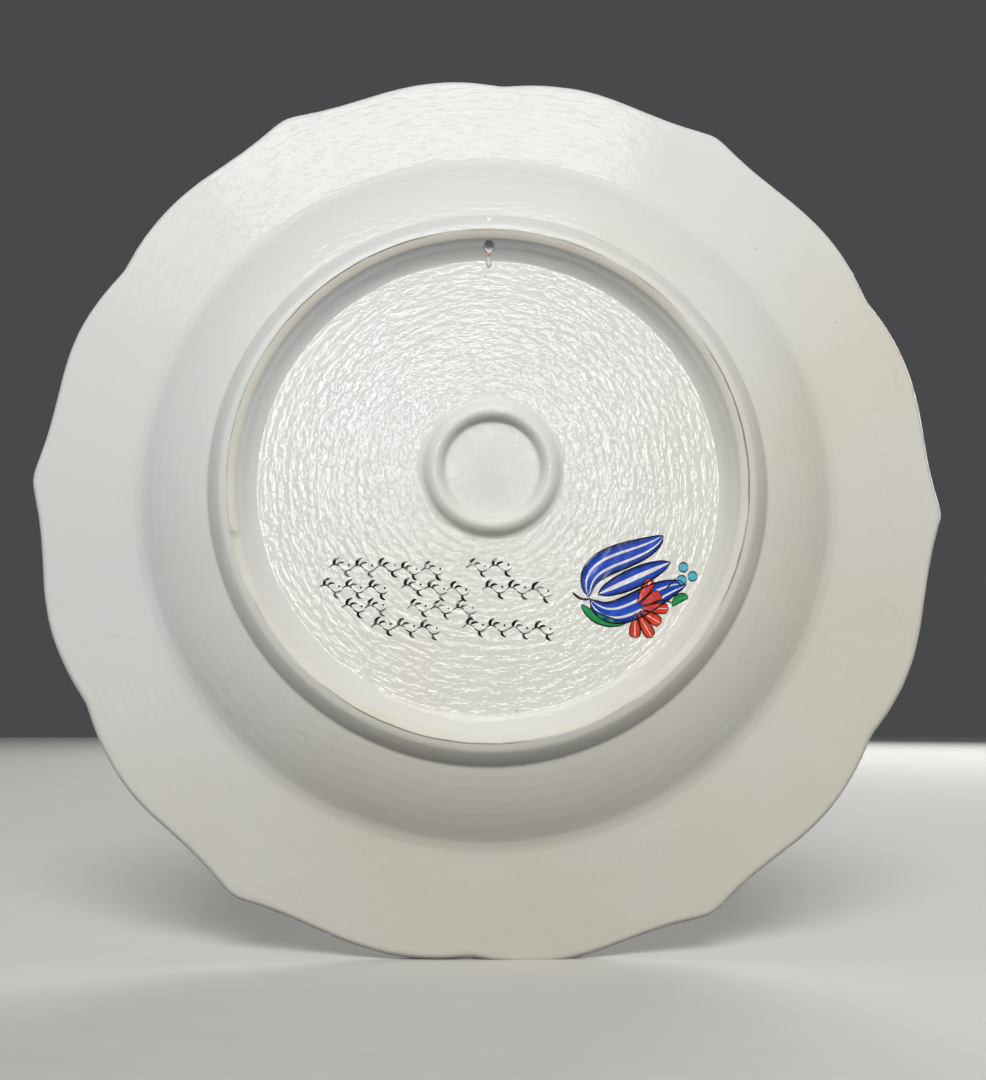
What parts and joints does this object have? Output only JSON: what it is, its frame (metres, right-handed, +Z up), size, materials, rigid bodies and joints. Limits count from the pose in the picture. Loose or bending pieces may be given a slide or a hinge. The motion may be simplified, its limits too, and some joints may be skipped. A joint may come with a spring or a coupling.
{
  "type": "painted wall plate",
  "caption": "Round ceramic wall plate with a scalloped rim, a glazed back with a pierced foot ring for hanging, and a hand painted floral face.",
  "frame": {"origin": "centre of the foot ring's contact plane", "axes": "the plate stands on edge as it hangs: +Z up through the hanging hole, -Y out of the back and the foot ring, +Y out of the painted face, +X to the right seen from the back"},
  "size_m": [0.3016, 0.0372, 0.2956],
  "materials": {
    "clay": "fired stonepaste clay, matt where it is bare",
    "glaze": "glossy off-white glaze with fine crazing",
    "paint_blue": "cobalt blue brushwork under glossy glaze",
    "paint_red": "red slip brushwork under glossy glaze",
    "paint_green": "copper green brushwork under glossy glaze",
    "paint_turquoise": "turquoise brushwork under glossy glaze",
    "paint_black": "black outline under glossy glaze"
  },
  "bodies": {
    "root": {"dish": "clay", "foot_ring": "clay", "support_ring": "clay", "back_glaze": "glaze", "foot_hollow_glaze": "glaze", "support_ring_glaze": "glaze", "front_glaze": "glaze", "glaze_run": "glaze", "sprig_blue": "paint_blue", "sprig_red": "paint_red", "sprig_green": "paint_green", "sprig_turquoise": "paint_turquoise", "sprig_black": "paint_black", "scroll_black": "paint_black", "front_blue": "paint_blue", "front_turquoise": "paint_turquoise", "front_red": "paint_red", "front_green": "paint_green", "front_black": "paint_black"}
  },
  "joints": []
}
